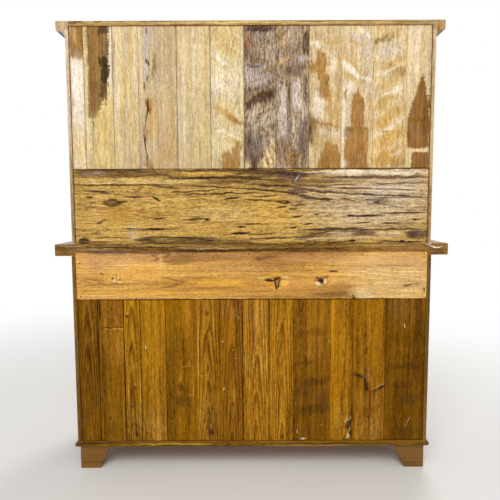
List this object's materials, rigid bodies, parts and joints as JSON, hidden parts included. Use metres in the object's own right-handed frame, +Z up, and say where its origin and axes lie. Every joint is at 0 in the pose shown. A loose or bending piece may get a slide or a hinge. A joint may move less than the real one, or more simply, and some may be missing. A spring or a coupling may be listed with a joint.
{
  "type": "display cupboard",
  "caption": "Tall rustic wooden display cupboard: panelled base with drawers on bracket feet, thick worktop, open niche, glazed upper case with cornice, board-and-plank back.",
  "frame": {"origin": "on the floor, at the centre of the cupboard's plan", "axes": "+Z up, the front with its doors faces -Y, the board back faces +Y, +X is right seen from the front"},
  "size_m": [1.836, 0.53, 2.1],
  "materials": {
    "case_wood": "waxed",
    "front_wood": "waxed",
    "inside_wood": "planed",
    "worktop_wood": "waxed",
    "moulding_wood": "waxed",
    "foot_wood": "waxed",
    "knob_wood": "waxed",
    "pale_boards": "planed",
    "spalted_plank": "planed",
    "pine_plank": "planed",
    "stained_boards": "stained",
    "door_glass": "clear",
    "brass": "aged",
    "catch_plastic": "matte"
  },
  "bodies": {
    "carcass": {"bracket_feet": "foot_wood", "base_bottom": "case_wood", "base_moulding": "moulding_wood", "base_sides": "case_wood", "base_partitions": "inside_wood", "base_shelves": "inside_wood", "base_face_frame": "front_wood", "drawer_runners": "inside_wood", "base_back_plank": "pine_plank", "base_back_boards": "stained_boards", "worktop": "worktop_wood", "upper_sides": "case_wood", "upper_floor": "inside_wood", "upper_partitions": "inside_wood", "display_shelves": "inside_wood", "shelf_pins": "brass", "upper_face_frame": "front_wood", "upper_back_plank": "spalted_plank", "upper_back_boards": "pale_boards", "upper_top": "case_wood", "cornice": "moulding_wood", "hinge_frame_leaves": "brass", "hinge_pins": "brass", "door_catches": "catch_plastic"},
    "base_door_left": {"base_door_left_frame": "front_wood", "base_door_left_panel": "front_wood", "base_door_left_knob": "knob_wood", "base_door_left_hardware": "brass"},
    "glazed_door_left": {"glazed_door_left_frame": "front_wood", "glazed_door_left_glass": "door_glass", "glazed_door_left_beads": "front_wood", "glazed_door_left_knob": "knob_wood", "glazed_door_left_hardware": "brass"},
    "drawer_left": {"drawer_left_front": "front_wood", "drawer_left_box": "inside_wood", "drawer_left_knob": "knob_wood"},
    "base_door_centre": {"base_door_centre_frame": "front_wood", "base_door_centre_panel": "front_wood", "base_door_centre_knob": "knob_wood", "base_door_centre_hardware": "brass"},
    "glazed_door_centre": {"glazed_door_centre_frame": "front_wood", "glazed_door_centre_glass": "door_glass", "glazed_door_centre_beads": "front_wood", "glazed_door_centre_knob": "knob_wood", "glazed_door_centre_hardware": "brass"},
    "drawer_centre": {"drawer_centre_front": "front_wood", "drawer_centre_box": "inside_wood", "drawer_centre_knob": "knob_wood"},
    "base_door_right": {"base_door_right_frame": "front_wood", "base_door_right_panel": "front_wood", "base_door_right_knob": "knob_wood", "base_door_right_hardware": "brass"},
    "glazed_door_right": {"glazed_door_right_frame": "front_wood", "glazed_door_right_glass": "door_glass", "glazed_door_right_beads": "front_wood", "glazed_door_right_knob": "knob_wood", "glazed_door_right_hardware": "brass"},
    "drawer_right": {"drawer_right_front": "front_wood", "drawer_right_box": "inside_wood", "drawer_right_knob": "knob_wood"}
  },
  "joints": [
    {"name": "base_door_left_hinge", "type": "hinge", "parent": "carcass", "child": "base_door_left", "pos_m": [-0.79475, -0.2245, 0.4955], "axis": [0, 0, -1], "range_deg": [0, 110]},
    {"name": "glazed_door_left_hinge", "type": "hinge", "parent": "carcass", "child": "glazed_door_left", "pos_m": [-0.78975, -0.1095, 1.7305], "axis": [0, 0, -1], "range_deg": [0, 110]},
    {"name": "drawer_left_slide", "type": "slide", "parent": "carcass", "child": "drawer_left", "axis": [0, -1, 0], "range_m": [0, 0.3]},
    {"name": "base_door_centre_hinge", "type": "hinge", "parent": "carcass", "child": "base_door_centre", "pos_m": [-0.24908, -0.2245, 0.4955], "axis": [0, 0, -1], "range_deg": [0, 110]},
    {"name": "glazed_door_centre_hinge", "type": "hinge", "parent": "carcass", "child": "glazed_door_centre", "pos_m": [-0.24742, -0.1095, 1.7305], "axis": [0, 0, -1], "range_deg": [0, 110]},
    {"name": "drawer_centre_slide", "type": "slide", "parent": "carcass", "child": "drawer_centre", "axis": [0, -1, 0], "range_m": [0, 0.3]},
    {"name": "base_door_right_hinge", "type": "hinge", "parent": "carcass", "child": "base_door_right", "pos_m": [0.79475, -0.2245, 0.4955], "axis": [0, 0, 1], "range_deg": [0, 110]},
    {"name": "glazed_door_right_hinge", "type": "hinge", "parent": "carcass", "child": "glazed_door_right", "pos_m": [0.78975, -0.1095, 1.7305], "axis": [0, 0, 1], "range_deg": [0, 110]},
    {"name": "drawer_right_slide", "type": "slide", "parent": "carcass", "child": "drawer_right", "axis": [0, -1, 0], "range_m": [0, 0.3]}
  ]
}
